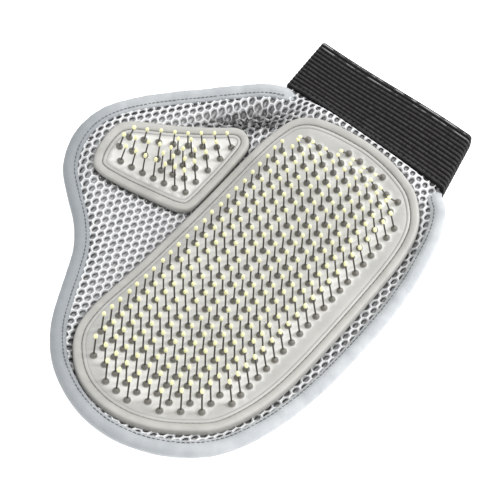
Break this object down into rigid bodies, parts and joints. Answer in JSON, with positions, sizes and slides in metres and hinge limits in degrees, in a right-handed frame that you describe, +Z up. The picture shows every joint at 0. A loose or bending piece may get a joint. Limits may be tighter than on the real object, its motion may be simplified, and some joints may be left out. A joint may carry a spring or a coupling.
{
  "type": "grooming glove",
  "caption": "Right-hand pet grooming mitt of mesh cloth with two rubber cushions of ball-tipped wire pins, a bound edge and an elastic cuff, lying palm up.",
  "frame": {"origin": "bottom centre of the glove's box, on the surface it lies on", "axes": "+Z up out of the palm, -Y towards the fingertips and +Y towards the wrist, +X across the palm away from the thumb"},
  "size_m": [0.1892, 0.2456, 0.0485],
  "materials": {
    "mesh": "white spacer mesh with round open holes",
    "tape": "smooth woven binding tape, light blue grey",
    "rubber": "matte light warm grey elastomer",
    "backing": "plain thin rubber sheet, hidden",
    "wire": "thin drawn wire with pale yellow moulded tips",
    "thread": "dark sewing thread",
    "elastic": "black ribbed woven elastic"
  },
  "bodies": {
    "hand": {"palm_mesh_hand": "mesh", "back_mesh_hand": "mesh", "edge_binding_hand": "tape", "binding_stitching_hand": "thread", "main_pad_rubber": "rubber", "main_pad_backing": "backing", "main_pad_stitching": "thread", "main_pin_row_01": "wire", "main_pin_row_02": "wire", "main_pin_row_03": "wire", "main_pin_row_04": "wire", "main_pin_row_05": "wire", "main_pin_row_06": "wire", "main_pin_row_07": "wire", "main_pin_row_08": "wire", "main_pin_row_09": "wire", "main_pin_row_10": "wire", "main_pin_row_11": "wire"},
    "thumb": {"palm_mesh_thumb": "mesh", "back_mesh_thumb": "mesh", "edge_binding_thumb": "tape", "binding_stitching_thumb": "thread", "thumb_pad_rubber": "rubber", "thumb_pad_backing": "backing", "thumb_pad_stitching": "thread", "thumb_pin_row_01": "wire", "thumb_pin_row_02": "wire", "thumb_pin_row_03": "wire", "thumb_pin_row_04": "wire", "thumb_pin_row_05": "wire"},
    "cuff": {"cuff_elastic_band": "elastic", "cuff_stitching": "thread"}
  },
  "joints": [
    {"name": "thumb_flex", "type": "hinge", "parent": "hand", "child": "thumb", "pos_m": [-0.0204, 0.01837, 0.0265], "axis": [0, 1, 0], "range_deg": [0, 40]},
    {"name": "wrist_flex", "type": "hinge", "parent": "hand", "child": "cuff", "pos_m": [0.0206, 0.08487, 0.0231], "axis": [1, 0, 0], "range_deg": [-25, 25], "stiffness_Nm_per_rad": 0.15}
  ]
}
